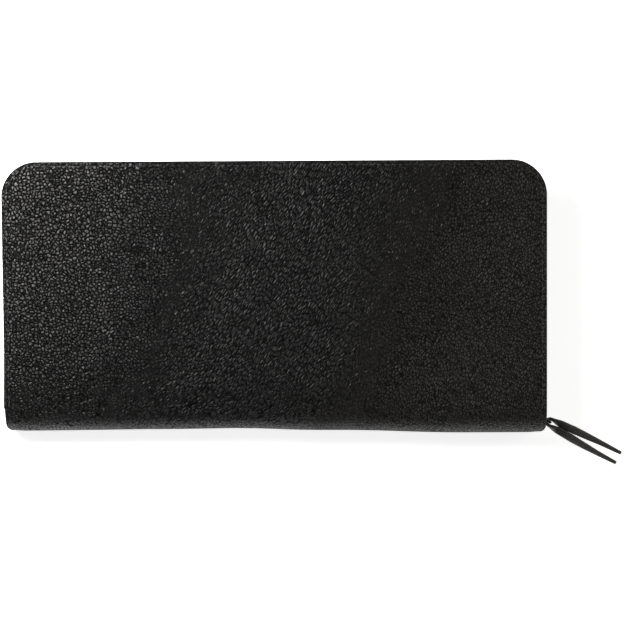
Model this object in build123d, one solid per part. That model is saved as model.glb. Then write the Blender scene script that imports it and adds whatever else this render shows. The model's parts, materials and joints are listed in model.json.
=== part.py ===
from build123d import *
import os
from math import cos, pi, radians, sin, tan

# A zip-around long wallet of pebbled leather, lying closed on its back cover, in millimetres.
# +X runs along the spine, +Y from the spine to the edge that opens, +Z up through the thickness.
# The origin is the centre of the face that the wallet rests on.

# Overall size
wallet_width = 200.0
wallet_height = 99.0
wallet_thickness = 25.0
top_corner_radius = 13.0
spine_depth = 8.0
least_corner_radius = 1.0

# Sheet materials: the board has the zip tape's thickness, because they lie side by side
cover_leather = 1.3
tape_thickness = 0.6
lining_leather = 0.5
slot_leather = 0.55
gusset_leather = 0.4
cover_seam_gap = 0.2

# Zip round three sides, standing between the covers and set in from their edges
zip_inset = 5.4
tape_border = 0.9
tape_end_gap = 0.3
board_gap = 0.3
tooth_pitch = 2.6
tooth_width = 0.95
tooth_depth = 2.6
tooth_reach = 3.2
tooth_overlap = 0.7
tooth_slider_gap = 0.4
stop_length = 2.0
stop_half_height = 2.0
left_stop_start = 0.5

# Slider of the round zip, with its crown
slider_length = 9.7
slider_wide = 9.6
slider_narrow = 8.4
slider_plate = 0.9
slider_channel = 2.9
slider_slot = 1.0
slider_lip = 0.8
slider_chamfer = 1.2
slider_post = 2.4
slider_post_gap = 0.2
crown_length = 7.0
crown_setback = 0.5
crown_leg = 0.7
crown_opening = 1.8
crown_strap = 0.5
crown_width = 2.2

# Pull ring and the lace folded through it
ring_wire = 1.1
ring_overhang = 1.4
ring_opening = 4.4
ring_play = 0.2
ring_spine_gap = 1.7
pull_angle = 27.5
lace_thickness = 1.2
lace_width = 2.4
arc_share = 0.45

# Points of the lace from one cut end, round the ring's outer bar, to the other cut end.
# Each is along the pull, across it and above it, from the middle of the ring's outer bar.
lace_route = [
    (28.8, 2.0, -11.0),
    (21.6, 1.95, -9.4),
    (14.4, 1.7, -5.9),
    (7.6, 1.4, -2.1),
    (2.6, 1.3, -0.2),
    (-1.26, 1.4, 0.0),
    (-1.26, -1.4, 0.0),
    (2.4, -1.3, -0.25),
    (7.2, -1.45, -1.9),
    (13.8, -1.85, -5.5),
    (21.2, -2.05, -9.2),
    (28.8, -2.05, -11.0),
]

# Card slots: shingled strips on the lining of each cover
slot_rows = 3
slot_step = 12.0
slot_side_inset = 11.5
slot_top_inset = 16.5
slot_spine_gap = 3.5

# Coin pocket in the middle, and the gussets that fold beside it
pocket_thickness = 8.0
pocket_wall = 0.9
pocket_side_inset = 12.0
pocket_top_inset = 22.5
pocket_spine_gap = 3.5
binding_width = 2.3
binding_bottom = 2.0
gusset_side_inset = 9.1
gusset_fold = 4.5
gusset_step = 2.0
gusset_pocket_gap = 0.3
gusset_spine_gap = 1.5
gusset_top_inset = 27.5

# Zip of the coin pocket
coin_zip_sink = 0.5
coin_tape_thickness = 0.6
coin_tape_inset = 8.0
coin_tooth_pitch = 2.0
coin_tooth_width = 0.85
coin_tooth_depth = 1.6
coin_tooth_reach = 1.9
coin_tooth_overlap = 0.5
coin_stop_length = 1.5
coin_stop_gap = 0.5
coin_slider_length = 7.0
coin_slider_wide = 5.4
coin_slider_narrow = 4.8
coin_slider_plate = 0.8
coin_slider_channel = 2.0
coin_slider_slot = 1.0
coin_slider_lip = 0.5
coin_slider_chamfer = 0.8
coin_slider_post = 1.6
coin_slider_post_width = 1.2
coin_crown_length = 3.6
coin_crown_leg = 0.5
coin_crown_opening = 1.4
coin_crown_strap = 0.5
coin_crown_width = 1.4
tab_length = 12.0
tab_width = 4.0
tab_thickness = 0.9
tab_window_length = 2.6
tab_window_width = 2.2
tab_bar = 0.45
tab_corner_radius = 1.2

# Lines and planes that the pieces share
half_width = wallet_width / 2
half_height = wallet_height / 2
middle = wallet_thickness / 2
flat_start = spine_depth - half_height
zip_side = half_width - zip_inset
zip_top = half_height - zip_inset
zip_corner = top_corner_radius - zip_inset
tape_edge = middle - tooth_reach
board_inset = zip_inset + tape_thickness / 2 + board_gap
slot_start = flat_start + slot_spine_gap
slots_low = cover_leather + tape_thickness + lining_leather
pocket_side = half_width - pocket_side_inset
pocket_start = flat_start + pocket_spine_gap
pocket_top = half_height - pocket_top_inset
pocket_low = middle - pocket_thickness / 2
pocket_inner_low = pocket_low + pocket_wall
crown_base = slider_channel / 2 + slider_plate
ring_span = zip_inset + ring_overhang - crown_base - crown_opening / 2
ring_reach = ring_span / cos(radians(pull_angle))
ring_outer_y = cover_leather + ring_spine_gap - half_height
ring_inner_y = ring_outer_y + ring_reach * sin(radians(pull_angle))
slider_low = ring_inner_y - ring_wire / 2 - ring_play - crown_leg - crown_setback
slider_high = slider_low + slider_length
coin_zip_height = pocket_top - coin_zip_sink
coin_zip_side = pocket_side - coin_tape_inset
coin_crown_base = coin_slider_channel / 2 + coin_slider_plate


def outline(inset, low_edge):
    """Outline of the covers drawn in by inset, cut off straight at low_edge."""
    top = half_height - inset
    plan = Pos(0, (top + low_edge) / 2) * Rectangle(2 * (half_width - inset), top - low_edge)
    corners = plan.vertices().group_by(Axis.Y)[-1]
    return fillet(corners, max(top_corner_radius - inset, least_corner_radius))


def layer(plan, low, thickness):
    """A flat sheet cut to plan, lying between low and low + thickness."""
    return extrude(Pos(0, 0, low) * plan, thickness)


def block(low, high):
    """A box given by its lowest and highest corners."""
    size = [b - a for a, b in zip(low, high)]
    centre = [(a + b) / 2 for a, b in zip(low, high)]
    return Pos(*centre) * Box(*size)


def for_front(piece):
    """The front cover's copy of a piece of the back cover."""
    return mirror(piece, about=Plane.XY.offset(middle))


def spine_section(shrink):
    """Half ellipse of the spine seen along X, drawn in by shrink."""
    full = Plane.YZ * Pos(flat_start, middle) * Ellipse(spine_depth - shrink, middle - shrink)
    kept = Plane.YZ * Pos(flat_start - spine_depth, middle) * Rectangle(2 * spine_depth, wallet_thickness)
    return full & kept


def spine_shell(outer_shrink, thickness, half_length):
    """A sheet bent round the spine, outer_shrink inside its outer line."""
    section = spine_section(outer_shrink) - spine_section(outer_shrink + thickness)
    return extrude(section, half_length, both=True)


def make_tape():
    """Zip tape of the back cover: a border sewn flat to the cover, and a wall up to the teeth."""
    border = outline(tape_border, flat_start) - outline(zip_inset - tape_thickness / 2, flat_start)
    wall_plan = outline(zip_inset - tape_thickness / 2, -half_height)
    wall_plan -= outline(zip_inset + tape_thickness / 2, -half_height)
    wall = layer(wall_plan, cover_leather, tape_edge - cover_leather)
    above_spine = block((-half_width, flat_start, 0), (half_width, half_height, wallet_thickness))
    in_spine = extrude(spine_section(cover_leather + lining_leather + tape_end_gap), half_width, both=True)
    return layer(border, cover_leather, tape_thickness) + (wall & above_spine) + (wall & in_spine)


def zip_place(distance):
    """Place on the zip's line at a distance along it from the closed end, and its heading."""
    start = slider_high + tooth_slider_gap
    straight = zip_top - zip_corner
    top_half = zip_side - zip_corner
    quarter = zip_corner * pi / 2
    if distance < straight - start:
        return zip_side, start + distance, 90.0
    distance -= straight - start
    if distance < quarter:
        turn = distance / zip_corner
        return top_half + zip_corner * cos(turn), straight + zip_corner * sin(turn), 90.0 + turn * 180 / pi
    distance -= quarter
    if distance < 2 * top_half:
        return top_half - distance, zip_top, 180.0
    distance -= 2 * top_half
    if distance < quarter:
        turn = distance / zip_corner
        return -top_half - zip_corner * sin(turn), straight + zip_corner * cos(turn), 180.0 + turn * 180 / pi
    return -zip_side, straight - (distance - quarter), 270.0


def zip_length():
    """Length of the line of teeth, from the slider round to the bottom stop."""
    left_end = flat_start + left_stop_start + stop_length
    right_start = slider_high + tooth_slider_gap
    straight = zip_top - zip_corner
    return (straight - right_start) + zip_corner * pi + 2 * (zip_side - zip_corner) + (straight - left_end)


def make_teeth(first, low, high):
    """One row of teeth along the round zip, between two heights."""
    teeth = []
    distance = first + tooth_width / 2
    while distance < zip_length() - tooth_width / 2:
        x, y, heading = zip_place(distance)
        tooth = Rot(0, 0, heading) * Box(tooth_width, tooth_depth, high - low)
        teeth.append(Pos(x, y, (low + high) / 2) * tooth)
        distance += tooth_pitch
    return Compound(teeth)


def make_bottom_stop():
    """Metal clip that joins the two rows at the zip's fixed end."""
    low = (-zip_side - tooth_depth / 2, flat_start + left_stop_start, middle - stop_half_height)
    high = (-zip_side + tooth_depth / 2, low[1] + stop_length, middle + stop_half_height)
    return block(low, high)


def make_slider(length, wide, narrow, plate, channel, slot, lip, chamfer, post, post_width):
    """Zip slider along its own X, wide mouth at +X: two plates, their turned lips and the post."""
    side = wide / 2
    tail = narrow / 2
    nose = length - chamfer
    edge = [(0, tail), (nose, side), (length, side - chamfer)]
    plan = make_face(Polyline(*edge, *[(x, -y) for x, y in reversed(edge)], close=True))
    inner = [(-length, tail - lip), (0, tail - lip), (nose, side - lip), (2 * length, side - lip)]
    way = make_face(Polyline(*inner, *[(x, -y) for x, y in reversed(inner)], close=True))
    body = layer(plan, channel / 2, plate) + layer(plan, -channel / 2 - plate, plate)
    body += layer(plan - way, slot / 2, (channel - slot) / 2)
    body += layer(plan - way, -channel / 2, (channel - slot) / 2)
    post_end = length - slider_post_gap
    post_low = (post_end - post, -post_width / 2, -channel / 2)
    return body + block(post_low, (post_end, post_width / 2, channel / 2))


def make_crown(start, length, base, leg, opening, strap, width):
    """The loop on a slider's outer plate that its pull hangs from."""
    loop = block((start, -width / 2, base), (start + length, width / 2, base + opening + strap))
    hole_low = (start + leg, -width, base)
    return loop - block(hole_low, (start + length - leg, width, base + opening))


def slider_place():
    """Frame of the round zip's slider: its mouth faces the spine and its crown faces +X."""
    return Plane((zip_side, slider_high, middle), x_dir=(0, -1, 0), z_dir=(1, 0, 0))


def ring_inner_bar():
    """Middle of the ring's bar inside the crown, the line that the pull swings about."""
    return zip_side + crown_base + crown_opening / 2, ring_inner_y


def ring_outer_bar():
    """Middle of the ring's bar that the lace is folded round."""
    return half_width + ring_overhang, ring_outer_y


def make_ring():
    """Wire ring standing on edge: two upright bars, two level ones and rounded corners."""
    rise = (ring_opening + ring_wire) / 2
    wire = ring_wire / 2
    ring = Cylinder(wire, 2 * rise) + Pos(ring_reach, 0, 0) * Cylinder(wire, 2 * rise)
    for up in (-rise, rise):
        ring += Pos(ring_reach / 2, 0, up) * Rot(0, 90, 0) * Cylinder(wire, ring_reach)
        for along in (0, ring_reach):
            ring += Pos(along, 0, up) * Sphere(wire)
    x, y = ring_inner_bar()
    return Pos(x, y, middle) * Rot(0, 0, -pull_angle) * ring


def lace_points():
    """Route of the lace in the wallet's frame."""
    x, y = ring_outer_bar()
    place = Location((x, y, middle), (0, 0, -pull_angle))
    return [(place * Pos(*point)).position for point in lace_route]


def corner_radius(before, corner, after):
    """Radius of the largest arc that the two runs beside a point leave room for."""
    into = corner - before
    out = after - corner
    turn = radians(into.get_angle(out))
    return arc_share * min(into.length, out.length) / tan(turn / 2)


def make_lace():
    """Leather lace on edge, folded round the ring, its two legs drooping to the table."""
    points = lace_points()
    radii = [corner_radius(*points[i - 1 : i + 2]) for i in range(1, len(points) - 1)]
    path = FilletPolyline(*points, radius=radii)
    heading = path % 0
    start = Plane(path @ 0, x_dir=heading.cross(Vector(0, 0, 1)), z_dir=heading)
    lace = sweep(start * Rectangle(lace_thickness, lace_width), path=path)
    print("lace radii", [round(radius, 1) for radius in radii])
    print("lace length", round(path.length, 2), "volume", round(lace.volume, 2))
    print("lace section times length", round(lace_thickness * lace_width * path.length, 2))
    return lace


def make_card_slot(row):
    """One strip of card pockets: each strip lies on the last and ends a step nearer the spine."""
    side = half_width - slot_side_inset
    top = half_height - slot_top_inset - row * slot_step
    low = slots_low + row * slot_leather
    return block((-side, slot_start, low), (side, top, low + slot_leather))


def make_gusset(side):
    """Pleated end wall from one lining to the other, folded inwards in both note pockets."""
    outer = half_width - gusset_side_inset
    fold = outer - gusset_fold
    under_pocket = pocket_low - gusset_pocket_gap
    turn = slots_low + gusset_step
    half = [(outer, slots_low), (outer, turn), (fold, (turn + under_pocket) / 2), (outer, under_pocket)]
    line = half + [(x, wallet_thickness - z) for x, z in reversed(half)]
    inner = [(x - gusset_leather, z) for x, z in reversed(line)]
    section = make_face(Polyline(*[(side * x, 0, z) for x, z in line + inner], close=True))
    low = flat_start + gusset_spine_gap
    length = half_height - gusset_top_inset - low
    return Pos(0, low, 0) * extrude(section, length, dir=(0, 1, 0))


def make_pocket_binding():
    """Edge binding that closes the coin pocket's two sides and its bottom."""
    outer = pocket_side + binding_width
    low = pocket_start - binding_bottom
    frame = block((-outer, low, pocket_low), (outer, pocket_top, pocket_low + pocket_thickness))
    hollow_high = (pocket_side, pocket_top, pocket_low + pocket_thickness)
    return frame - block((-pocket_side, pocket_start, pocket_low), hollow_high)


def make_coin_tape():
    """Tape on the pocket's back wall, turned into the mouth as far as the teeth."""
    near = coin_zip_height - coin_tape_thickness / 2
    low = (-coin_zip_side, near, pocket_inner_low)
    return block(low, (coin_zip_side, near + coin_tape_thickness, middle - coin_tooth_reach))


def make_coin_teeth():
    """Both rows of the coin zip's teeth, up to the middle of the closed slider."""
    end = coin_slider_middle()
    teeth = []
    x = -coin_zip_side + coin_stop_length + coin_stop_gap + coin_tooth_width / 2
    side = -1
    while x < end:
        height = coin_tooth_reach + coin_tooth_overlap
        lift = (coin_tooth_overlap - coin_tooth_reach) / 2 * -side
        teeth.append(Pos(x, coin_zip_height, middle + lift) * Box(coin_tooth_width, coin_tooth_depth, height))
        x += coin_tooth_pitch / 2
        side = -side
    return Compound(teeth)


def make_coin_stops():
    """The coin zip's two end stops."""
    stops = []
    for side in (-1, 1):
        x = side * (coin_zip_side - coin_stop_length / 2)
        size = (coin_stop_length, coin_tooth_depth, 2 * coin_tooth_reach)
        stops.append(Pos(x, coin_zip_height, middle) * Box(*size))
    return Compound(stops)


def coin_slider_middle():
    """Middle of the coin slider when the coin zip is closed."""
    return coin_zip_side - coin_stop_length - coin_stop_gap - coin_slider_length / 2


def coin_slider_place():
    """Frame of the coin slider: its mouth faces +X and its crown faces out of the pocket."""
    start = coin_slider_middle() - coin_slider_length / 2
    return Plane((start, coin_zip_height, middle), x_dir=(1, 0, 0), z_dir=(0, 1, 0))


def make_coin_tab():
    """Flat metal pull tab, its window round the crown, lying back along the teeth."""
    plate_centre = (tab_length / 2, 0, 0)
    tab = Pos(*plate_centre) * Box(tab_length, tab_width, tab_thickness)
    far_edges = tab.edges().filter_by(Axis.Z).group_by(Axis.X)[-1]
    tab = fillet(far_edges, tab_corner_radius)
    window_low = (-tab_bar, -tab_window_width / 2, -tab_thickness)
    tab -= block(window_low, (tab_bar + tab_window_length, tab_window_width / 2, tab_thickness))
    tab += Rot(90, 0, 0) * Cylinder(tab_bar, tab_width)
    height = coin_zip_height + coin_crown_base + coin_crown_opening / 2
    pivot = Plane((coin_slider_middle(), height, middle), x_dir=(-1, 0, 0), z_dir=(0, 1, 0))
    return pivot * tab


cover = layer(outline(0, flat_start), 0, cover_leather)
board = layer(outline(board_inset, flat_start), cover_leather, tape_thickness)
lining = layer(outline(board_inset, flat_start), cover_leather + tape_thickness, lining_leather)
tape = make_tape()
front_gap = block((-half_width, -half_height, 0), (half_width, flat_start + cover_seam_gap, wallet_thickness))
slots = [make_card_slot(row) for row in range(slot_rows)]
lining_half_length = half_width - gusset_side_inset
pocket_plan = Pos(0, (pocket_start + pocket_top) / 2) * Rectangle(2 * pocket_side, pocket_top - pocket_start)
pocket_back = layer(pocket_plan, pocket_low, pocket_wall)

nodes = {
    "back_cover": cover,
    "back_board": board,
    "back_lining": lining,
    "spine_leather": spine_shell(0, cover_leather, half_width),
    "spine_lining": spine_shell(cover_leather, lining_leather, lining_half_length),
    "zip_tape_back": tape,
    "zip_teeth_back": make_teeth(0, tape_edge, middle + tooth_overlap),
    "zip_bottom_stop": make_bottom_stop(),
    "gusset_right": make_gusset(1),
    "gusset_left": make_gusset(-1),
    "front_cover": for_front(cover) - front_gap,
    "front_board": for_front(board) - front_gap,
    "front_lining": for_front(lining) - front_gap,
    "zip_tape_front": for_front(tape),
    "zip_teeth_front": make_teeth(tooth_pitch / 2, middle - tooth_overlap, middle + tooth_reach),
    "coin_pocket_back": pocket_back,
    "coin_pocket_front": for_front(pocket_back),
    "coin_pocket_binding": make_pocket_binding(),
    "coin_zip_tape_back": make_coin_tape(),
    "coin_zip_tape_front": for_front(make_coin_tape()),
    "coin_zip_teeth": make_coin_teeth(),
    "coin_zip_stops": make_coin_stops(),
    "zip_slider_body": slider_place()
    * make_slider(
        slider_length,
        slider_wide,
        slider_narrow,
        slider_plate,
        slider_channel,
        slider_slot,
        slider_lip,
        slider_chamfer,
        slider_post,
        slider_post,
    ),
    "zip_slider_crown": slider_place()
    * make_crown(
        slider_length - crown_setback - crown_length,
        crown_length,
        crown_base,
        crown_leg,
        crown_opening,
        crown_strap,
        crown_width,
    ),
    "pull_ring": make_ring(),
    "pull_lace": make_lace(),
    "coin_slider_body": coin_slider_place()
    * make_slider(
        coin_slider_length,
        coin_slider_wide,
        coin_slider_narrow,
        coin_slider_plate,
        coin_slider_channel,
        coin_slider_slot,
        coin_slider_lip,
        coin_slider_chamfer,
        coin_slider_post,
        coin_slider_post_width,
    ),
    "coin_slider_crown": coin_slider_place()
    * make_crown(
        (coin_slider_length - coin_crown_length) / 2,
        coin_crown_length,
        coin_crown_base,
        coin_crown_leg,
        coin_crown_opening,
        coin_crown_strap,
        coin_crown_width,
    ),
    "coin_pull_tab": make_coin_tab(),
}
for row, slot in enumerate(slots):
    nodes[f"back_card_slot_{row + 1}"] = slot
    nodes[f"front_card_slot_{row + 1}"] = for_front(slot)

os.makedirs("parts", exist_ok=True)
for name, piece in nodes.items():
    export_step(piece, f"parts/{name}.step")
print(len(nodes), "nodes")
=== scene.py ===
import json
from math import ceil, cos, hypot, pi, radians, sin

import bmesh
import bpy
import numpy as np
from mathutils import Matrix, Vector


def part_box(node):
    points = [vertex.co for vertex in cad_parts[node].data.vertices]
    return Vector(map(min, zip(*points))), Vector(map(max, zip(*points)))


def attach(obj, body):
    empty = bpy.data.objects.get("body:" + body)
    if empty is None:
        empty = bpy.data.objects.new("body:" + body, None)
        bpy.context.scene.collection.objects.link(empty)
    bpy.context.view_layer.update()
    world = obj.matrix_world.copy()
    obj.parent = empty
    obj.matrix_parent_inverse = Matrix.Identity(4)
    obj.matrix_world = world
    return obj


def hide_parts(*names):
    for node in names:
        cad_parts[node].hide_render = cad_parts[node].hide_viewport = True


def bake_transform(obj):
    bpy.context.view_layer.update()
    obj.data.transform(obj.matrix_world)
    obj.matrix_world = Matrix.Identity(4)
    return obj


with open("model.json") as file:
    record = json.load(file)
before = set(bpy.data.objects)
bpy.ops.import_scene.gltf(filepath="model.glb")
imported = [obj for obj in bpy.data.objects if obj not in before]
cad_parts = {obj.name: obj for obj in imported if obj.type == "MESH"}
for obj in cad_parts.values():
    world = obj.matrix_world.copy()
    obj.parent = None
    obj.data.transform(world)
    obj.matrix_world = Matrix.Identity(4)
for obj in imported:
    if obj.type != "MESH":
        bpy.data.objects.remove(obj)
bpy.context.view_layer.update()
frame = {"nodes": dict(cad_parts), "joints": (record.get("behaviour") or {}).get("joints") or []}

# OUTER LEATHER
# One piece of milled, pebble-grained cowhide covers the front, bends round the spine and covers the back.
# It is glued over the cover boards, turned at its edge and sewn down round the two long sides and the top.
hide_low, hide_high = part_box("spine_leather")
cover_low, cover_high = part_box("back_cover")
half_width = cover_high.x
top_edge = cover_high.y
fold_line = cover_low.y
thickness = hide_high.z
middle = thickness / 2
spine_depth = fold_line - hide_low.y
hide_thickness = cover_high.z
corner_radius = 0.013
edge_round = 0.00065
seam_inset = 0.0017
seam_groove = 0.00016
groove_width = 0.00028
padding_rise = 0.00035
cover_bow = 0.0005
sag_depth = 0.0015
ripple_height = 0.00012
board_gap = 0.00005
hide_wall = hide_thickness - board_gap


def smooth_step(low, high, value):
    """0 below low, 1 above high, and a smooth rise between."""
    share = np.clip((value - low) / (high - low), 0, 1)
    return share * share * (3 - 2 * share)


def slack(x, y):
    """Place in plan after the soft hide has settled: a dipped spine, a narrower foot on the left."""
    near_spine = smooth_step(-0.010, -0.049, y)
    near_top = smooth_step(-0.030, 0.049, y)
    dip = 0.0009 * np.exp(-(((x + 0.020) / 0.038) ** 2)) - 0.0005 * smooth_step(0.030, 0.070, x)
    lean = 0.0055 * x - 0.0001
    left = (0.0001 + 0.017 * (0.035 - y)) * np.clip(-x / half_width, 0, 1)
    foot = np.clip((fold_line - y) / spine_depth, 0, 1)
    pinch = (0.0003 * foot**2 + 0.0013 * foot**14) * np.abs(x / half_width) ** 12
    return x + left - np.sign(x) * pinch, y + near_spine * dip + near_top * lean


def edge_distance(x, y):
    """How far a point of a cover is from its cut edge, round the two rounded corners."""
    across = half_width - np.abs(x)
    up = top_edge - y
    corner = corner_radius - np.hypot(corner_radius - across, corner_radius - up)
    in_corner = (across < corner_radius) & (up < corner_radius)
    return np.where(in_corner, corner, np.minimum(across, up))


def link_mesh(name, points, faces, finish=None, lengths=None):
    """A mesh object from its points and faces, smooth, with an optional UV place for each point."""
    mesh = bpy.data.meshes.new(name)
    mesh.from_pydata([tuple(point) for point in points], [], [tuple(face) for face in faces])
    mesh.validate()
    if lengths is not None:
        layer = mesh.uv_layers.new(name="surface")
        corners = np.zeros(len(mesh.loops), int)
        mesh.loops.foreach_get("vertex_index", corners)
        layer.data.foreach_set("uv", np.asarray(lengths, float)[corners].ravel())
    mesh.shade_smooth()
    if finish is not None:
        mesh.materials.append(finish)
    piece = bpy.data.objects.new(name, mesh)
    bpy.context.collection.objects.link(piece)
    return piece


def grid_faces(rows, columns, start=0, flipped=False):
    """Quads of a grid of points numbered row by row."""
    faces = []
    for row in range(rows - 1):
        for column in range(columns - 1):
            a = start + row * columns + column
            face = (a, a + 1, a + columns + 1, a + columns)
            faces.append(face[::-1] if flipped else face)
    return faces


class Value:
    """A shader socket: arithmetic on it adds the Math nodes."""

    def __init__(self, finish, socket):
        self.finish = finish
        self.socket = socket

    def joined(self, operation, first, second):
        return self.finish.node("ShaderNodeMath", {"operation": operation}, {0: first, 1: second})

    def __add__(self, other):
        return self.joined("ADD", self, other)

    def __radd__(self, other):
        return self.joined("ADD", other, self)

    def __sub__(self, other):
        return self.joined("SUBTRACT", self, other)

    def __rsub__(self, other):
        return self.joined("SUBTRACT", other, self)

    def __mul__(self, other):
        return self.joined("MULTIPLY", self, other)

    def __rmul__(self, other):
        return self.joined("MULTIPLY", other, self)

    def between(self, low, high):
        """0 where the value is low, 1 where it is high, and smooth between."""
        settings = {"interpolation_type": "SMOOTHSTEP"}
        return self.finish.node("ShaderNodeMapRange", settings, {0: self, 1: low, 2: high})


class Finish:
    """A material as it is mixed: node() adds every node but the shader itself."""

    def __init__(self, name):
        self.material = bpy.data.materials.new(name)
        self.material.use_nodes = True
        self.tree = self.material.node_tree
        self.shader = self.tree.nodes["Principled BSDF"]

    def node(self, kind, settings=None, sockets=None, output=0):
        made = self.tree.nodes.new(kind)
        for name, value in (settings or {}).items():
            setattr(made, name, value)
        for name, value in (sockets or {}).items():
            self.feed(made.inputs[name], value)
        return Value(self, made.outputs[output])

    def feed(self, socket, value):
        if isinstance(value, Value):
            self.tree.links.new(value.socket, socket)
        else:
            socket.default_value = value

    def mixed(self, share, first, second):
        """A colour between two colours."""
        sockets = {0: share, 6: first, 7: second}
        return self.node("ShaderNodeMix", {"data_type": "RGBA"}, sockets, output=2)

    def stretched(self, place, turn, scale):
        """A place for a grain that runs one way: drawn out along its turned first axis."""
        sockets = {"Vector": place, "Rotation": (0, 0, radians(turn)), "Scale": scale}
        return self.node("ShaderNodeMapping", {"vector_type": "TEXTURE"}, sockets)

    def shifted(self, place, scale, reach):
        """A place moved about by a noise, so that a pattern isn't regular."""
        sockets = {"Vector": place, "Scale": scale, "Detail": 2.0}
        noise = self.node("ShaderNodeTexNoise", {}, sockets, output=1)
        half = (0.5, 0.5, 0.5)
        centred = self.node("ShaderNodeVectorMath", {"operation": "SUBTRACT"}, {0: noise, 1: half})
        moved = self.node("ShaderNodeVectorMath", {"operation": "SCALE"}, {0: centred, "Scale": reach})
        return self.node("ShaderNodeVectorMath", {"operation": "ADD"}, {0: place, 1: moved})

    def cells(self, place, scale, feature="DISTANCE_TO_EDGE", randomness=1.0):
        """Irregular cells: the distance to each cell's edge, or to its middle."""
        sockets = {"Vector": place, "Scale": scale, "Randomness": randomness}
        return self.node("ShaderNodeTexVoronoi", {"feature": feature}, sockets)

    def ramp(self, value, low, high):
        """0 where the value is low, 1 where it is high, and straight between."""
        return self.node("ShaderNodeMapRange", {}, {0: value, 1: low, 2: high})

    def dome(self, edge, width):
        """A rounded pebble from the distance to its cell's edge: steep at the groove, level on top."""
        short = 1 - self.ramp(edge, 0.0, width)
        return 1 - short * short

    def handed_over(self, share, first, second):
        """One grain that gives way to another: both show their creases where they meet."""
        leaving = first + self.ramp(share, 0.4, 1.0)
        coming = second + self.ramp(share, 0.6, 0.0)
        settings = {"operation": "MINIMUM", "use_clamp": True}
        return self.node("ShaderNodeMath", settings, {0: leaving, 1: coming})

    def noise(self, place, scale, detail=3.0):
        return self.node("ShaderNodeTexNoise", {}, {"Vector": place, "Scale": scale, "Detail": detail})

    def bump(self, height, distance, strength=1.0):
        sockets = {"Height": height, "Distance": distance, "Strength": strength}
        return self.node("ShaderNodeBump", {}, sockets)

    def painted_crease_shade(self, unshaded_share, colour):
        """Painted shade in the grooves: where the share given is 0, the shiny finish gives way to a dull,
        near-black diffuse that stands in for the shade there.
        """
        output = self.tree.nodes["Material Output"]
        shade_diffuse = self.node("ShaderNodeBsdfDiffuse", {}, {"Color": colour})
        shiny = Value(self, self.shader.outputs[0])
        blend = self.node("ShaderNodeMixShader", {}, {0: unshaded_share, 1: shade_diffuse, 2: shiny})
        self.tree.links.new(blend.socket, output.inputs["Surface"])

    def done(self, **sockets):
        for name, value in sockets.items():
            self.feed(self.shader.inputs[name.replace("_", " ").title().replace("Ior", "IOR")], value)
        return self.material


def pebbled_hide():
    """Milled grain: round pebbles on the left, slanting creases in the middle, fine on the right, with
    painted shade in the creases.
    """
    finish = Finish("pebbled_hide")
    place = finish.node("ShaderNodeTexCoord", output=2)
    across = finish.node("ShaderNodeSeparateXYZ", {}, {0: place})
    down = finish.node("ShaderNodeSeparateXYZ", {}, {0: place}, output=1)
    patches = finish.noise(place, 24.0, 2.0) - 0.5
    along = across + down * 0.35 + patches * 0.06
    swirled = finish.shifted(place, 30.0, 0.0055)
    uneven = finish.shifted(swirled, 260.0, 0.0009)
    pebbles = finish.dome(finish.cells(uneven, 800.0, randomness=0.9), 0.31)
    split = finish.dome(finish.cells(uneven, 1300.0), 0.20)
    slant = -52.0
    slanted = finish.stretched(uneven, slant, (3.1, 1.0, 1.0))
    drawn = finish.dome(finish.cells(slanted, 1340.0), 0.40)
    wrinkles = finish.noise(finish.stretched(swirled, slant, (4.5, 1.0, 1.0)), 1000.0, 2.0)
    steep = finish.stretched(uneven, -60.0, (1.6, 1.0, 1.0))
    fine = finish.dome(finish.cells(steep, 1200.0), 0.38)
    to_drawn = along.between(0.030, 0.120)
    to_fine = along.between(0.110, 0.215)
    grain = finish.handed_over(to_drawn, pebbles * 0.92 + split * 0.08, drawn * 0.8 + wrinkles * 0.35)
    grain = finish.handed_over(to_fine, grain, fine)
    depth = 0.54 + to_drawn * 0.05 - to_fine * 0.21
    pores = finish.noise(place, 4200.0, 2.0)
    swell = finish.noise(place, 70.0, 3.0)
    height = grain * depth + pores * 0.04 + swell * 0.35
    warmth = along.between(0.12, 0.22)
    black = (0.0070, 0.0068, 0.0069, 1)
    cool = (0.0088, 0.0086, 0.0089, 1)
    warm = (0.0205, 0.0185, 0.0142, 1)
    tops = finish.mixed(warmth, finish.mixed(to_drawn, black, cool), warm)
    # Painted shade: the creases between the pebbles are coloured near-black, far darker than the tops, to
    # stand in for the shade that falls in them.
    hollow_shade = (0.0008, 0.0008, 0.0007, 1)
    colour = finish.mixed(grain.between(0.10, 0.90), hollow_shade, tops)
    polish = grain.between(0.0, 0.9) * 0.10
    roughness = 0.50 - polish + patches * 0.10 + to_drawn * 0.03 + to_fine * 0.02
    # Painted shade: the grooves between pebbles swap the shiny leather for a near-black matt diffuse, fully
    # in the slanting middle grain and less where the grain is fine.
    crease_shade_share = (1 - finish.ramp(grain, 0.12, 0.85)) * (0.86 + to_drawn * 0.14 - to_fine * 0.40)
    crease_shade_colour = (0.0010, 0.0010, 0.0009, 1)
    finish.painted_crease_shade(1 - crease_shade_share, crease_shade_colour)
    return finish.done(
        base_color=colour,
        roughness=roughness,
        specular_ior_level=0.28,
        normal=finish.bump(height, 0.00055),
    )


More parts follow.
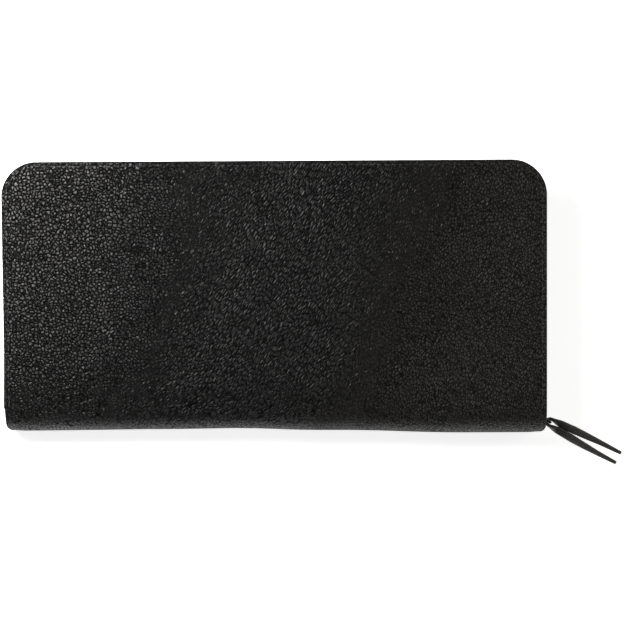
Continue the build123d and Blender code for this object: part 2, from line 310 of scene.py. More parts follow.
def hide_profile():
    """The hide seen along its length: y, z, outward direction and length, from front edge to back edge."""
    turns = np.linspace(pi / 2, 0, 17)
    corner_rows = top_edge - corner_radius + corner_radius * np.sin(turns)
    flat_rows = np.linspace(top_edge - corner_radius, fold_line, 42)[1:]
    front = [(y, thickness, 0.0, 1.0) for y in [*corner_rows, *flat_rows]]
    bend = []
    for turn in np.linspace(pi / 2, -pi / 2, 27)[1:-1]:
        normal = Vector((-cos(turn) * middle, sin(turn) * spine_depth)).normalized()
        bend.append((fold_line - spine_depth * cos(turn), middle + middle * sin(turn), *normal))
    back = [(y, 0.0, 0.0, -1.0) for y, *_ in reversed(front)]
    profile = np.array(front + bend + back)
    steps = np.hypot(*np.diff(profile[:, :2], axis=0).T)
    return profile, np.concatenate([[0], np.cumsum(steps)])


def hide_surface():
    """Points of the hide's outer and inner face, row by row, and how far each has run along the surface."""
    profile, run = hide_profile()
    insets = np.array([0, 0.12, 0.35, 0.65, 1.0, 1.3, 1.55, 1.75, 2.0, 2.4, 3.2, 4.6, 6.5]) / 1000
    outer, inner, lengths = [], [], []
    for (y, z, ny, nz), length in zip(profile, run):
        above = max(y - (top_edge - corner_radius), 0)
        reach = half_width - corner_radius + (corner_radius**2 - above**2) ** 0.5
        side = reach - insets
        xs = np.concatenate([-side, np.linspace(-side[-1], side[-1], 92)[1:-1], side[::-1]])
        on_cover = abs(nz) == 1
        distance = edge_distance(xs, np.full(len(xs), y)) if on_cover else half_width - np.abs(xs)
        distance = np.maximum(distance, 0)
        short = np.maximum(edge_round - distance, 0)
        rounded = edge_round - np.sqrt(np.maximum(edge_round**2 - short**2, 0))
        fade = smooth_step(fold_line - 0.002, fold_line + 0.004, y) if on_cover else 0.0
        groove = seam_groove * np.exp(-(((distance - seam_inset) / groove_width) ** 2)) * fade
        padding = padding_rise * smooth_step(0.0019, 0.0060, distance) * (1.0 if on_cover else 0.6)
        bow = cover_bow * (1 - (xs / half_width) ** 2) * max(1 - (y / top_edge) ** 2, 0) * (nz > 0)
        sag = sag_depth * smooth_step(fold_line + 0.0085, fold_line, y) * max(nz, 0) ** 3
        sag = sag * (1 - 0.6 * smooth_step(0.0, 0.070, xs))
        ripple = ripple_height * np.sin(xs * 95 + 2 * np.sin(xs * 31)) * (0.4 if on_cover else 1.0)
        lift = padding + bow - groove - rounded - sag + (ripple if nz >= 0 else 0)
        lift = np.where(nz < 0, np.minimum(lift, 0.0) if on_cover else lift * (1 + nz), lift)
        x, flat_y = slack(xs, np.full(len(xs), y))
        outer += list(zip(x, flat_y + ny * lift, z + nz * lift))
        inner += list(zip(x, flat_y - ny * hide_wall, np.full(len(x), z - nz * hide_wall)))
        lengths += [(value + half_width, length) for value in xs]
    return outer, inner, lengths, len(profile), len(xs)


outer_points, inner_points, surface_lengths, hide_rows, hide_columns = hide_surface()
hide_faces = grid_faces(hide_rows, hide_columns, flipped=True)
hide_faces += grid_faces(hide_rows, hide_columns, start=len(outer_points))
outer_hide = link_mesh(
    "outer_hide", outer_points + inner_points, hide_faces, pebbled_hide(), surface_lengths + surface_lengths
)
shape = bmesh.new()
shape.from_mesh(outer_hide.data)
border = [edge for edge in shape.edges if edge.is_boundary]
bmesh.ops.bridge_loops(shape, edges=border)
bmesh.ops.recalc_face_normals(shape, faces=shape.faces)
for face in shape.faces:
    face.smooth = True
shape.to_mesh(outer_hide.data)
shape.free()
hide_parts("back_cover", "spine_leather", "front_cover")
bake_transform(outer_hide)

# COVER SEAM
# A lockstitch of black bonded thread holds the turned edge, the zip tape and the lining together.
# Each stitch sinks into the seam's groove.
stitch_pitch = 0.0026
stitch_length = 0.0019
stitch_radius = 0.00022
seam_start = fold_line + 0.0015


def rounded_path(inset, start, step):
    """Points of a line inside a cover's edge, from its right foot over the top to its left foot."""
    side = half_width - inset
    top = top_edge - inset
    radius = corner_radius - inset
    straight = top - radius
    rise = straight - start
    span = 2 * (side - radius)
    quarter = radius * pi / 2
    total = 2 * rise + span + 2 * quarter
    points = []
    for distance in np.linspace(0, total, ceil(total / step) + 1):
        if distance < rise:
            points.append((side, start + distance))
        elif distance < rise + quarter:
            turn = (distance - rise) / radius
            points.append((side - radius + radius * cos(turn), straight + radius * sin(turn)))
        elif distance < rise + quarter + span:
            points.append((side - radius - (distance - rise - quarter), top))
        elif distance < rise + 2 * quarter + span:
            turn = (distance - rise - quarter - span) / radius
            points.append((radius - side - radius * sin(turn), straight + radius * cos(turn)))
        else:
            points.append((-side, straight - (distance - rise - 2 * quarter - span)))
    return points


def capsule(name, length, radius, flatness=0.8):
    """A short thread bulge along X with closed tapered ends."""
    rings, around = [-0.5, -0.36, 0.0, 0.36, 0.5], 6
    widths = [0.25, 0.85, 1.0, 0.85, 0.25]
    points = []
    for share, width in zip(rings, widths):
        for turn in range(around):
            angle = 2 * pi * turn / around
            reach = width * radius
            points.append((share * length, reach * cos(angle), reach * flatness * sin(angle)))
    faces = []
    for ring in range(len(rings) - 1):
        for turn in range(around):
            a, b = ring * around + turn, ring * around + (turn + 1) % around
            faces.append((a, b, b + around, a + around))
    faces.append(tuple(reversed(range(around))))
    faces.append(tuple(range((len(rings) - 1) * around, len(rings) * around)))
    made = link_mesh(name, points, faces)
    fix_normals(made)
    return made


def fix_normals(piece):
    """Turns the faces of a closed mesh outwards."""
    shape = bmesh.new()
    shape.from_mesh(piece.data)
    bmesh.ops.recalc_face_normals(shape, faces=shape.faces)
    shape.to_mesh(piece.data)
    shape.free()


def repeat_tree():
    """Geometry Nodes that set copies of one part along a line, each turned to follow it."""
    tree = bpy.data.node_groups.new("copies_along_a_line", "GeometryNodeTree")
    interface = tree.interface
    interface.new_socket("Line", in_out="INPUT", socket_type="NodeSocketGeometry")
    interface.new_socket("Part", in_out="INPUT", socket_type="NodeSocketObject")
    interface.new_socket("Pitch", in_out="INPUT", socket_type="NodeSocketFloat")
    interface.new_socket("Skew", in_out="INPUT", socket_type="NodeSocketFloat")
    interface.new_socket("Unevenness", in_out="INPUT", socket_type="NodeSocketFloat")
    interface.new_socket("Finish", in_out="INPUT", socket_type="NodeSocketMaterial")
    interface.new_socket("Geometry", in_out="OUTPUT", socket_type="NodeSocketGeometry")
    source = tree.nodes.new("NodeGroupInput")
    curve = tree.nodes.new("GeometryNodeMeshToCurve")
    spaced = tree.nodes.new("GeometryNodeResampleCurve")
    spaced.mode = "LENGTH"
    tangent = tree.nodes.new("GeometryNodeInputTangent")
    aligned = tree.nodes.new("FunctionNodeAlignRotationToVector")
    aligned.axis = "X"
    aligned.pivot_axis = "Z"
    uneven = tree.nodes.new("FunctionNodeRandomValue")
    uneven.data_type = "FLOAT"
    uneven.inputs["Seed"].default_value = 7
    lowest = tree.nodes.new("ShaderNodeMath")
    lowest.operation = "MULTIPLY"
    lowest.inputs[1].default_value = -1.0
    turn = tree.nodes.new("ShaderNodeMath")
    turn.operation = "ADD"
    spin = tree.nodes.new("ShaderNodeCombineXYZ")
    to_rotation = tree.nodes.new("FunctionNodeEulerToRotation")
    combined = tree.nodes.new("FunctionNodeRotateRotation")
    combined.rotation_space = "LOCAL"
    part = tree.nodes.new("GeometryNodeObjectInfo")
    part.inputs["As Instance"].default_value = True
    copies = tree.nodes.new("GeometryNodeInstanceOnPoints")
    real = tree.nodes.new("GeometryNodeRealizeInstances")
    painted = tree.nodes.new("GeometryNodeSetMaterial")
    sink = tree.nodes.new("NodeGroupOutput")
    for first, second in [
        (source.outputs["Line"], curve.inputs["Mesh"]),
        (curve.outputs["Curve"], spaced.inputs["Curve"]),
        (source.outputs["Pitch"], spaced.inputs["Length"]),
        (tangent.outputs["Tangent"], aligned.inputs["Vector"]),
        (source.outputs["Unevenness"], lowest.inputs[0]),
        (lowest.outputs[0], uneven.inputs[2]),
        (source.outputs["Unevenness"], uneven.inputs[3]),
        (uneven.outputs[1], turn.inputs[0]),
        (source.outputs["Skew"], turn.inputs[1]),
        (turn.outputs[0], spin.inputs["Z"]),
        (spin.outputs[0], to_rotation.inputs[0]),
        (aligned.outputs[0], combined.inputs["Rotation"]),
        (to_rotation.outputs[0], combined.inputs["Rotate By"]),
        (source.outputs["Part"], part.inputs["Object"]),
        (spaced.outputs["Curve"], copies.inputs["Points"]),
        (part.outputs["Geometry"], copies.inputs["Instance"]),
        (combined.outputs[0], copies.inputs["Rotation"]),
        (copies.outputs["Instances"], real.inputs["Geometry"]),
        (real.outputs["Geometry"], painted.inputs["Geometry"]),
        (source.outputs["Finish"], painted.inputs["Material"]),
        (painted.outputs["Geometry"], sink.inputs["Geometry"]),
    ]:
        tree.links.new(first, second)
    return tree


copies_along_a_line = repeat_tree()


def along_lines(name, lines, part, pitch, finish, skew=0.0, unevenness=0.0):
    """Copies of part along each line of points, as one plain mesh."""
    points = [point for line in lines for point in line]
    edges, first = [], 0
    for line in lines:
        edges += [(first + index, first + index + 1) for index in range(len(line) - 1)]
        first += len(line)
    mesh = bpy.data.meshes.new(name)
    mesh.from_pydata(points, edges, [])
    guide = bpy.data.objects.new(name + "_line", mesh)
    bpy.context.collection.objects.link(guide)
    modifier = guide.modifiers.new("copies", "NODES")
    modifier.node_group = copies_along_a_line
    values = {"Part": part, "Pitch": pitch, "Skew": skew, "Unevenness": unevenness, "Finish": finish}
    for item in copies_along_a_line.interface.items_tree:
        if item.in_out == "INPUT" and item.name in values:
            modifier[item.identifier] = values[item.name]
    evaluated = guide.evaluated_get(bpy.context.evaluated_depsgraph_get())
    made = bpy.data.objects.new(name, bpy.data.meshes.new_from_object(evaluated))
    bpy.context.collection.objects.link(made)
    bpy.data.objects.remove(guide)
    bpy.data.objects.remove(part)
    return made


def sewing_thread():
    """Black bonded polyester: plies that wind round the stitch, with a waxy shine."""
    finish = Finish("sewing_thread")
    place = finish.node("ShaderNodeTexCoord", output=3)
    plies = finish.noise(finish.stretched(place, 32.0, (1.0, 6.0, 1.0)), 2600.0, 2.0)
    colour = finish.mixed(plies, (0.006, 0.006, 0.006, 1), (0.022, 0.021, 0.020, 1))
    return finish.done(base_color=colour, roughness=0.5 + plies * 0.2, normal=finish.bump(plies, 0.00006))


thread = sewing_thread()
for body, height in (("front", thickness - seam_groove + 0.00002), ("back", seam_groove * 0.9)):
    plan = [slack(x, y) for x, y in rounded_path(seam_inset, seam_start, 0.001)]
    line = [(float(x), float(y), height) for x, y in plan]
    part = capsule("cover_stitch", stitch_length, stitch_radius, 0.7)
    seam = along_lines(f"{body}_cover_seam", [line], part, stitch_pitch, thread, radians(4), radians(3))
    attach(seam, body)

# ROUND ZIP TAPES
# Each cover carries one woven polyester tape, sewn flat inside the seam and turned up as a wall.
# The two walls meet at the teeth, half way between the covers.
tape_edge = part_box("zip_tape_back")[1].z
teeth_low, teeth_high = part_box("zip_teeth_back")
zip_inset = 0.0054
tape_half = 0.0003
foot_clearance = 0.0021
bead_radius = 0.00042


def woven_tape():
    """Close twill: fine ribs across the tape and a coarser rib along each edge."""
    finish = Finish("woven_tape")
    place = finish.node("ShaderNodeTexCoord", output=2)
    along = finish.node("ShaderNodeSeparateXYZ", {}, {0: place})
    across = finish.node("ShaderNodeSeparateXYZ", {}, {0: place}, output=1)
    ribs = finish.node("ShaderNodeMath", {"operation": "SINE"}, {0: (along + across * 0.6) * 8000.0})
    rows = finish.node("ShaderNodeMath", {"operation": "SINE"}, {0: across * 9000.0})
    weave = ribs * 0.6 + rows * 0.5 + finish.noise(place, 900.0)
    colour = finish.mixed(weave.between(-0.4, 1.4), (0.0020, 0.0020, 0.0024, 1), (0.022, 0.022, 0.024, 1))
    return finish.done(
        base_color=colour, roughness=0.82, sheen_weight=0.15, normal=finish.bump(weave, 0.00016)
    )


def tape_section():
    """Half section of the tape: from its sewn border, round the turn, up the wall and over the bead."""
    low = hide_thickness + tape_half
    line = [
        (0.0044, low),
        (0.0024, low),
        (0.0011, low + 0.00005),
        (0.0004, low + 0.0004),
        (0.0001, low + 0.0011),
        (0.0, low + 0.0022),
        (0.0, low + 0.0042),
        (0.0, tape_edge - 0.0012),
    ]
    left, right = [], []
    for index, (out, up) in enumerate(line):
        before = line[max(index - 1, 0)]
        after = line[min(index + 1, len(line) - 1)]
        heading = Vector((after[0] - before[0], after[1] - before[1])).normalized()
        left.append((out - heading.y * tape_half, up + heading.x * tape_half))
        right.append((out + heading.y * tape_half, up - heading.x * tape_half))
    bead = []
    for turn in np.linspace(-0.75 * pi, 0.75 * pi, 7):
        bead.append((bead_radius * sin(turn), tape_edge - bead_radius + bead_radius * cos(turn)))
    return right + bead[::-1] + left[::-1]


def tape_mesh(name, upper):
    """The tape swept round the zip's line, its feet cut to the inside of the spine."""
    section = tape_section()
    plan = rounded_path(zip_inset, fold_line, 0.0025)
    points, lengths = [], []
    run = 0.0
    for index, (x, y) in enumerate(plan):
        before, after = plan[max(index - 1, 0)], plan[min(index + 1, len(plan) - 1)]
        heading = Vector((after[0] - before[0], after[1] - before[1])).normalized()
        run += hypot(x - before[0], y - before[1])
        at_foot = index in (0, len(plan) - 1)
        around = 0.0
        for number, (out, up) in enumerate(section):
            inside = max(1 - ((up - middle) / (middle - foot_clearance)) ** 2, 0) ** 0.5
            drop = (spine_depth - foot_clearance) * inside if at_foot else 0.0
            z = thickness - up if upper else up
            points.append((x + heading.y * out, y - heading.x * out - drop, z))
            if number:
                around += hypot(out - section[number - 1][0], up - section[number - 1][1])
            lengths.append((run, around))
    count = len(section)
    faces = []
    for row in range(len(plan) - 1):
        for number in range(count):
            a, b = row * count + number, row * count + (number + 1) % count
            faces.append((a, b, b + count, a + count))
    faces.append(tuple(range(count)))
    faces.append(tuple(range((len(plan) - 1) * count, len(plan) * count)))
    tape = link_mesh(name, points, faces, zip_cloth, lengths)
    fix_normals(tape)
    tape.data.set_sharp_from_angle(angle=radians(50))
    return tape


zip_cloth = woven_tape()
for body, upper in (("back", False), ("front", True)):
    tape = tape_mesh(f"round_zip_tape_{body}", upper)
    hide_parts(f"zip_tape_{body}")
    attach(tape, body)

# ROUND ZIP TEETH
# Pressed metal teeth in a blackened nickel finish, clamped over the bead of each tape.
# The two rows are set half a pitch apart, so that the heads of one sit between those of the other.
tooth_pitch = 0.0026
tooth_width = 0.00115
tooth_depth = teeth_high.x - teeth_low.x - 2 * (half_width - zip_inset)
teeth_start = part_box("zip_slider_body")[1].y + 0.0004 + tooth_width / 2
teeth_end = fold_line + 0.0025


def dark_metal(name, tone, roughness, scratch):
    """Blackened nickel plate: a tinted metal with fine rubbed scratches and cloudy patches."""
    finish = Finish(name)
    place = finish.node("ShaderNodeTexCoord", output=3)
    cloud = finish.noise(place, 260.0, 4.0)
    rubbed = finish.noise(finish.stretched(place, 20.0, (1.0, 14.0, 1.0)), 1500.0, 3.0)
    light = (tone[0] * 1.5, tone[1] * 1.45, tone[2] * 1.4, 1)
    colour = finish.mixed(cloud.between(0.3, 0.75), (*tone, 1), light)
    return finish.done(
        base_color=colour,
        metallic=1.0,
        roughness=roughness + cloud * 0.10 + rubbed * scratch,
        normal=finish.bump(rubbed + cloud * 0.5, 0.00002, 0.6),
    )


def tooth(name, width, depth, low, high):
    """One tooth standing along Z: clamped foot, waist, shoulder and a rounded head with a nib."""
    half = width / 2
    rise = high - low
    outline = [
        (low, 0.36),
        (low + rise * 0.07, 0.48),
        (low + rise * 0.30, 0.50),
        (low + rise * 0.50, 0.41),
        (low + rise * 0.68, 0.50),
        (low + rise * 0.90, 0.46),
        (high, 0.30),
    ]
    points = []
    for x, shrink in ((-half, 0.86), (-half * 0.72, 1.0), (half * 0.72, 1.0), (half, 0.86)):
        for z, share in outline:
            points.append((x, -depth * share * shrink, z))
        for z, share in reversed(outline):
            points.append((x, depth * share * shrink, z))
    count = 2 * len(outline)
    faces = [tuple(range(count)), tuple(range(3 * count, 4 * count))]
    for ring in range(3):
        for number in range(count):
            a, b = ring * count + number, ring * count + (number + 1) % count
            faces.append((a, b, b + count, a + count))
    made = link_mesh(name, points, faces)
    fix_normals(made)
    return made


teeth_metal = dark_metal("zip_teeth_metal", (0.085, 0.080, 0.076), 0.30, 0.12)
teeth_line = rounded_path(zip_inset, teeth_end, 0.0008)
for body, shift, sign in (("back", 0.0, 1), ("front", tooth_pitch / 2, -1)):
    line = [(x, y, middle) for x, y in teeth_line if x < 0 or y >= teeth_start + shift]
    low, high = -(middle - tape_edge), teeth_high.z - middle
    ends = (low, high) if sign > 0 else (-low, -high)
    part = tooth("zip_tooth", tooth_width, tooth_depth, *ends)
    row = along_lines(f"round_zip_teeth_{body}", [line], part, tooth_pitch, teeth_metal)
    row.data.set_sharp_from_angle(angle=radians(35))
    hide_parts(f"zip_teeth_{body}")
    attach(row, body)

# ZIP HARDWARE
# The slider is a die-cast body with two plates, turned lips and a post, and a cast loop for the pull.
# The bottom stop is a clip pressed over both tapes. The pull ring is bent from round wire.
casting_edge = 0.00022


def worked_copy(node, name, edge, finish, smooth_angle=35):
    """The sub-part's own shape, with its edges eased as tumbling and polishing ease them."""
    shape = bmesh.new()
    shape.from_mesh(frame["nodes"][node].data)
    bmesh.ops.remove_doubles(shape, verts=shape.verts, dist=2e-6)
    bmesh.ops.dissolve_limit(shape, angle_limit=radians(1), verts=shape.verts, edges=shape.edges)
    mesh = bpy.data.meshes.new(name)
    shape.to_mesh(mesh)
    shape.free()
    piece = bpy.data.objects.new(name, mesh)
    bpy.context.collection.objects.link(piece)
    mesh.materials.append(finish)
    mesh.shade_smooth()
    mesh.set_sharp_from_angle(angle=radians(smooth_angle))
    if edge:
        bevel = piece.modifiers.new("eased_edge", "BEVEL")
        bevel.width = edge
        bevel.segments = 3
        bevel.limit_method = "ANGLE"
        bevel.angle_limit = radians(40)
    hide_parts(node)
    return piece


hardware = dark_metal("slider_metal", (0.030, 0.029, 0.028), 0.30, 0.10)
for node, body, edge in (
    ("zip_slider_body", "zip_slider", casting_edge),
    ("zip_slider_crown", "zip_slider", casting_edge),
    ("zip_bottom_stop", "back", casting_edge),
    ("pull_ring", "zip_pull", 0.0),
    ("coin_slider_body", "coin_slider", casting_edge * 0.6),
    ("coin_slider_crown", "coin_slider", casting_edge * 0.6),
    ("coin_pull_tab", "coin_pull", casting_edge * 0.8),
    ("coin_zip_stops", "coin_pocket", casting_edge * 0.8),
):
    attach(worked_copy(node, f"{node}_metal", edge, hardware), body)

# LACE PULL
# A strip cut from the same hide, folded through the ring so that its two ends hang side by side.
# It goes through the ring on edge, twists as it leaves it to lie flat, and tapers to two cut ends.
ring_joint = next(joint for joint in frame["joints"] if joint["name"] == "zip_pull_swing")
pull_angle = radians(27.5)
ring_reach = 0.004
lace_thickness = 0.0012
lace_reach = [0.0, 0.003, 0.012, 0.019, 0.024, 0.033]
lace_widths = [0.0022, 0.0025, 0.0029, 0.0024, 0.0019, 0.00125]
lace_route = [
    (0.0288, 0.0020, -0.0110),
    (0.0216, 0.00195, -0.0094),
    (0.0144, 0.0017, -0.0059),
    (0.0076, 0.0014, -0.0021),
    (0.0026, 0.00122, -0.0002),
    (-0.00126, 0.0013, 0.0),
    (-0.00126, -0.0013, 0.0),
    (0.0024, -0.0013, -0.00025),
    (0.0072, -0.00145, -0.0019),
    (0.0138, -0.00185, -0.0055),
    (0.0212, -0.00205, -0.0092),
    (0.0288, -0.00205, -0.0110),
]


def lace_line():
    """The lace's smooth line: a spline with the route's points as its control points."""
    curve = bpy.data.curves.new("lace_line", "CURVE")
    curve.dimensions = "3D"
    spline = curve.splines.new("NURBS")
    spline.points.add(len(lace_route) - 1)
    ring = Vector(ring_joint["pos_m"])
    along = Vector((cos(pull_angle), -sin(pull_angle), 0))
    across = Vector((sin(pull_angle), cos(pull_angle), 0))
    for point, (out, aside, up) in zip(spline.points, lace_route):
        place = ring + along * (ring_reach + out) + across * aside + Vector((0, 0, up))
        point.co = (*place, 1)
    spline.order_u = 3
    spline.use_endpoint_u = True
    spline.resolution_u = 12
    line = bpy.data.objects.new("lace_line", curve)
    bpy.context.collection.objects.link(line)
    mesh = bpy.data.meshes.new_from_object(line.evaluated_get(bpy.context.evaluated_depsgraph_get()))
    points = [vertex.co.copy() for vertex in mesh.vertices]
    bpy.data.objects.remove(line)
    bpy.data.meshes.remove(mesh)
    return points, ring, along


def cut_hide():
    """Smooth finished strip: fine grain on its faces, paler raw fibres along its two cut edges."""
    finish = Finish("cut_hide")
    place = finish.node("ShaderNodeTexCoord", output=3)
    raw = finish.node("ShaderNodeAttribute", {"attribute_name": "raw_edge"}, {}, output=2)
    grain = finish.cells(finish.shifted(place, 1500.0, 0.0004), 1700.0).between(0.0, 0.5)
    fibres = finish.noise(finish.stretched(place, -27.5, (0.25, 1.0, 1.0)), 3800.0, 4.0)
    colour = finish.mixed(raw, (0.074, 0.070, 0.065, 1), (0.150, 0.141, 0.128, 1))
    shade = finish.mixed(grain.between(0.0, 0.6), (0.026, 0.025, 0.023, 1), colour)
    height = grain * (1 - raw) * 0.7 + fibres * (0.3 + raw * 0.8)
    return finish.done(
        base_color=shade, roughness=0.48 + raw * 0.25, normal=finish.bump(height, 0.00010, 0.8)
    )


def lace_mesh(line):
    """A flat strip swept along its line: width, thickness and twist change with the length run."""
    steps = [0.0] + [(b - a).length for a, b in zip(line, line[1:])]
    run = np.cumsum(steps)
    total = run[-1]
    half = [(-0.5, -0.28), (-0.5, 0.28), (-0.40, 0.5), (0.40, 0.5)]
    side = half + [(-across, -up) for across, up in half]
    points, lengths, raw = [], [], []
    for index, centre in enumerate(line):
        before, after = line[max(index - 1, 0)], line[min(index + 1, len(line) - 1)]
        heading = (after - before).normalized()
        level = heading.cross(Vector((0, 0, 1))).normalized()
        upright = level.cross(heading).normalized()
        from_tip = min(run[index], total - run[index])
        from_fold = total / 2 - from_tip
        flat = float(smooth_step(0.0020, 0.0072, from_fold))
        lean = radians(84) * (1 - flat) + radians(14) * flat
        first = run[index] < total / 2
        lean *= 1 if first else -1
        wide = level * cos(lean) + upright * sin(lean)
        thick = heading.cross(wide).normalized()
        width = float(np.interp(from_fold, lace_reach, lace_widths))
        height = lace_thickness * float(np.interp(from_fold, [0.0, 0.004, 0.021, 0.033], [0.78, 1, 1, 0.7]))
        for number, (across, up) in enumerate(side):
            points.append(centre + wide * (across * width) + thick * (up * height))
            lengths.append((run[index], number / len(side) * 0.008))
            raw.append(1.0 if abs(across) == 0.5 else 0.0)
    count = len(side)
    faces = [tuple(range(count)), tuple(range((len(line) - 1) * count, len(line) * count))]
    for row in range(len(line) - 1):
        for number in range(count):
            a, b = row * count + number, row * count + (number + 1) % count
            faces.append((a, b, b + count, a + count))
    lace = link_mesh("lace_pull", points, faces, cut_hide(), lengths)
    fix_normals(lace)
    edge = lace.data.attributes.new("raw_edge", "FLOAT", "POINT")
    edge.data.foreach_set("value", raw)
    lace.data.set_sharp_from_angle(angle=radians(60))
    return lace


lace_points, ring_place, lace_heading = lace_line()
lace = lace_mesh(lace_points)
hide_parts("pull_lace")
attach(lace, "zip_pull")

# LININGS AND CARD SLOTS
# Each cover is lined with matt twill over its board; three strips of thin smooth leather are shingled
# on the lining and sewn at their ends and down the middle, which makes two columns of card slots.
slot_edge = 0.0002


def lining_cloth():
    """Fine twill with a slight sheen, diagonal ribs and soft unevenness."""
    finish = Finish("lining_cloth")
    place = finish.node("ShaderNodeTexCoord", output=3)
    along = finish.node("ShaderNodeSeparateXYZ", {}, {0: place})
    up = finish.node("ShaderNodeSeparateXYZ", {}, {0: place}, output=1)
    through = finish.node("ShaderNodeSeparateXYZ", {}, {0: place}, output=2)
    twill = finish.node("ShaderNodeMath", {"operation": "SINE"}, {0: (along + up + through) * 9000.0})
    cross = finish.node("ShaderNodeMath", {"operation": "SINE"}, {0: (along - up - through) * 13000.0})
    weave = twill * 0.5 + cross * 0.25 + finish.noise(place, 500.0) * 0.8
    colour = finish.mixed(weave.between(-0.4, 1.2), (0.009, 0.009, 0.0095, 1), (0.028, 0.027, 0.027, 1))
    return finish.done(
        base_color=colour, roughness=0.78, sheen_weight=0.25, normal=finish.bump(weave, 0.00006)
    )


def smooth_leather():
    """Thin split leather with a printed fine grain, a little shinier where cards rub it."""
    finish = Finish("smooth_leather")
    place = finish.node("ShaderNodeTexCoord", output=3)
    grain = finish.cells(finish.shifted(place, 1100.0, 0.0005), 1500.0).between(0.0, 0.5)
    rubbed = finish.noise(place, 35.0, 3.0).between(0.35, 0.7)
    colour = finish.mixed(grain, (0.008, 0.0076, 0.0072, 1), (0.019, 0.018, 0.017, 1))
    height = grain * 0.8 + finish.noise(place, 90.0) * 1.5
    return finish.done(
        base_color=colour, roughness=0.58 - rubbed * 0.14, normal=finish.bump(height, 0.00008, 0.8)
    )


twill = lining_cloth()
slot_leather = smooth_leather()
for body in ("back", "front"):
    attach(worked_copy(f"{body}_lining", f"{body}_lining_cloth", 0.00015, twill), body)
    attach(worked_copy(f"{body}_board", f"{body}_cover_board", 0.00015, twill), body)
    for row in (1, 2, 3):
        node = f"{body}_card_slot_{row}"
        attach(worked_copy(node, f"{node}_strip", slot_edge, slot_leather), body)

slot_seam_inset = 0.0018
seam_clearance = 0.0012
stitch_lift = 0.00004
row_boxes = {}
for body in ("back", "front"):
    row_boxes[body] = [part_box(f"{body}_card_slot_{row}") for row in (1, 2, 3)]
for body in ("back", "front"):
    lines = []
    foot = row_boxes[body][2][0].y + 0.001
    for low, high in reversed(row_boxes[body]):
        face = high.z + stitch_lift if body == "back" else low.z - stitch_lift
        side = high.x - slot_seam_inset
        top = high.y - slot_seam_inset
        lines += [[(x, foot, face), (x, top - seam_clearance, face)] for x in (-side, 0.0, side)]
        lines.append([(-side, top, face), (side, top, face)])
        foot = high.y + seam_clearance
    part = capsule("slot_stitch", stitch_length, stitch_radius * 0.85, 0.7)
    seam = along_lines(f"{body}_slot_seams", lines, part, stitch_pitch, thread, radians(3), radians(2))
    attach(seam, body)

# COIN POCKET
# Two walls of the same thin leather stand between the note pockets, bound and sewn at the sides and foot.
# The mouth has a fine metal zip on twill tapes, with a flat pull tab.
for node in ("coin_pocket_back", "coin_pocket_front", "coin_pocket_binding"):
    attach(worked_copy(node, f"{node}_leather", 0.00025, slot_leather), "coin_pocket")
for node in ("coin_zip_tape_back", "coin_zip_tape_front"):
    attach(worked_copy(node, f"{node}_cloth", 0.0001, twill), "coin_pocket")
bound_low, bound_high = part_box("coin_pocket_binding")
binding_inset = 0.0011
corner_gap = 0.001
bound_side = bound_high.x - binding_inset
bound_foot = bound_low.y + binding_inset
bound_top = bound_high.y - corner_gap
lines = []
for face in (bound_low.z - stitch_lift, bound_high.z + stitch_lift):
    lines.append([(-bound_side, bound_top, face), (-bound_side, bound_foot, face)])
    lines.append([(-bound_side + corner_gap, bound_foot, face), (bound_side - corner_gap, bound_foot, face)])
    lines.append([(bound_side, bound_foot, face), (bound_side, bound_top, face)])
part = capsule("binding_stitch", stitch_length, stitch_radius * 0.85, 0.7)
seam = along_lines("coin_pocket_seams", lines, part, stitch_pitch, thread, radians(3), radians(2))
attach(seam, "coin_pocket")
coin_low, coin_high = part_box("coin_zip_teeth")
coin_pitch = 0.002
coin_tooth_width = 0.00085
coin_tooth_start = coin_low.x + 0.0004
coin_line_y = (coin_low.y + coin_high.y) / 2
coin_root = coin_low.z - middle + 0.00005
coin_tip = 0.0005
for wall, shift, sign in (("back", 0.0, 1), ("front", coin_pitch / 2, -1)):
    line = [(x, coin_line_y, middle) for x in np.arange(coin_tooth_start + shift, coin_high.x, 0.001)]
    depth = coin_high.y - coin_low.y
    part = tooth("coin_tooth", coin_tooth_width, depth, coin_root * sign, coin_tip * sign)
    row = along_lines(f"coin_zip_teeth_{wall}", [line], part, coin_pitch, teeth_metal)
    row.data.set_sharp_from_angle(angle=radians(35))
    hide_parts("coin_zip_teeth")
    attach(row, "coin_pocket")

# SPINE LINING AND GUSSETS
# The lining runs on round the spine. At each end a pleated twill gusset joins the two covers and the
# coin pocket, folded inwards once in each note pocket, so that the wallet opens only part way.
gusset_thickness = 0.0004
lining_wall = 0.00045
top_pinch = 0.0012
lining_low, lining_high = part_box("spine_lining")


def bent_lining():
    """The spine's lining as a thin closed shell."""
    points = []
    rows, columns = 25, 30
    outer_face = hide_thickness + board_gap
    for shrink in (outer_face, outer_face + lining_wall):
        for turn in np.linspace(pi / 2, -pi / 2, rows):
            y = fold_line - (spine_depth - shrink) * cos(turn)
            z = middle + (middle - shrink) * sin(turn)
            for x in np.linspace(lining_low.x, lining_high.x, columns):
                points.append((x, slack(x, y)[1], z))
    faces = grid_faces(rows, columns) + grid_faces(rows, columns, start=rows * columns, flipped=True)
    made = link_mesh("spine_lining_cloth", points, faces, twill)
    shape = bmesh.new()
    shape.from_mesh(made.data)
    bmesh.ops.bridge_loops(shape, edges=[edge for edge in shape.edges if edge.is_boundary])
    bmesh.ops.recalc_face_normals(shape, faces=shape.faces)
    shape.to_mesh(made.data)
    shape.free()
    return made


spine_cloth = bent_lining()
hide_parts("spine_lining")
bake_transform(spine_cloth)

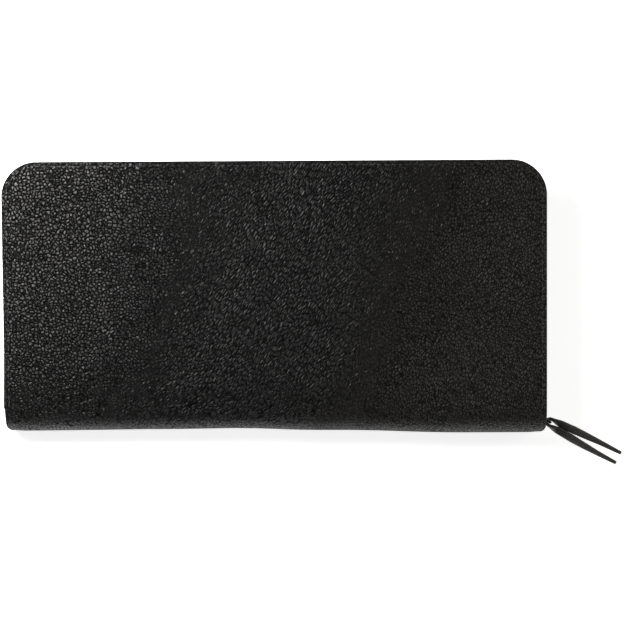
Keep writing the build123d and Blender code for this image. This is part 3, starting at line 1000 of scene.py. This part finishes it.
for side in ("left", "right"):
    low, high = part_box(f"gusset_{side}")
    outward = 1 if side == "right" else -1
    outer = max(abs(low.x), abs(high.x)) - gusset_thickness / 2
    fold = min(abs(low.x), abs(high.x)) + gusset_thickness / 2
    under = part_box("coin_pocket_back")[0].z - 0.0003
    turn = low.z + 0.002
    half = [(outer, low.z), (outer, turn), (fold, (turn + under) / 2), (outer, under)]
    corners = half + [(x, thickness - z) for x, z in reversed(half)]
    line = []
    for first, second in zip(corners, corners[1:]):
        for share in np.linspace(0, 1, 7)[:-1]:
            line.append(Vector(first).lerp(Vector(second), share))
    line.append(Vector(corners[-1]))
    for _ in range(3):
        line[1:-1] = [(a + 2 * b + c) / 4 for a, b, c in zip(line, line[1:], line[2:])]
    rows = list(np.linspace(low.y, high.y, 24))
    points = []
    for y in rows:
        pinch = top_pinch * float(smooth_step(high.y - 0.02, high.y, y))
        for x, z in line:
            points.append((outward * (x - pinch * sin((z / thickness) * 4 * pi) ** 2), y, z))
    gusset = link_mesh(f"gusset_{side}_pleat", points, grid_faces(len(rows), len(line)), twill)
    wall = gusset.modifiers.new("wall", "SOLIDIFY")
    wall.thickness = gusset_thickness
    wall.offset = 0
    solid = gusset.evaluated_get(bpy.context.evaluated_depsgraph_get())
    gusset.data = bpy.data.meshes.new_from_object(solid)
    gusset.modifiers.clear()
    fix_normals(gusset)
    developed = sum((b - a).length for a, b in zip(line, line[1:]))
    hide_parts(f"gusset_{side}")
    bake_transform(gusset)

# TABLE, LIGHT AND CAMERA
# The closed wallet lies on its back cover on a white table top that is lit through from below,
# under soft boxes, and is seen from straight above.
view_width = 0.2288
camera_distance = 3.0


def pale_table():
    finish = Finish("pale_table")
    place = finish.node("ShaderNodeTexCoord", output=3)
    cloud = finish.noise(place, 3.0)
    colour = finish.mixed(cloud, (0.93, 0.93, 0.93, 1), (0.96, 0.96, 0.96, 1))
    return finish.done(base_color=colour, roughness=0.8, emission_color=colour, emission_strength=0.86)


table_reach = 4.0
table_top = -0.00005
corners = [(x * table_reach, y * table_reach, table_top) for x, y in ((-1, -1), (1, -1), (1, 1), (-1, 1))]
table = link_mesh("table", corners, [(0, 1, 2, 3)], pale_table())


def soft_light(name, place, target, size, power, tint=(1, 1, 1), spread=180):
    """A square soft box aimed at a point of the wallet."""
    light = bpy.data.lights.new(name, "AREA")
    light.shape = "SQUARE"
    light.size = size
    light.energy = power
    light.color = tint
    light.spread = radians(spread)
    lamp = bpy.data.objects.new(name, light)
    lamp.location = place
    lamp.rotation_euler = (Vector(target) - Vector(place)).to_track_quat("-Z", "Y").to_euler()
    bpy.context.collection.objects.link(lamp)


key_place = (-0.22, 0.16, 0.42)
soft_light("key", key_place, (-0.08, 0.04, 0), 0.18, 2.9, (1.0, 0.985, 0.96))
soft_light("corner", key_place, (-0.13, 0.07, 0), 0.16, 0.20, (1.0, 0.985, 0.95), 28)
soft_light("left", (-1.2, 0.5, 0.8), (0, 0, 0), 0.9, 1.2)
soft_light("right", (1.2, 0.5, 0.8), (0.05, 0, 0), 0.7, 3.5, (1.0, 0.97, 0.90))
soft_light("foot", (0.2, -1.4, 0.9), (0, -0.05, 0), 0.9, 0.36)
world = bpy.data.worlds.new("studio")
world.use_nodes = True
world.node_tree.nodes["Background"].inputs["Color"].default_value = (1, 1, 1, 1)
world.node_tree.nodes["Background"].inputs["Strength"].default_value = 0.085
bpy.context.scene.world = world
bpy.context.scene.view_settings.view_transform = "Standard"

camera_data = bpy.data.cameras.new("camera")
camera_data.sensor_width = 36.0
camera_data.lens = 36.0 * camera_distance / view_width
camera = bpy.data.objects.new("camera", camera_data)
camera.location = (0.0141, -0.0062, thickness + camera_distance)
bpy.context.collection.objects.link(camera)
bpy.context.scene.camera = camera
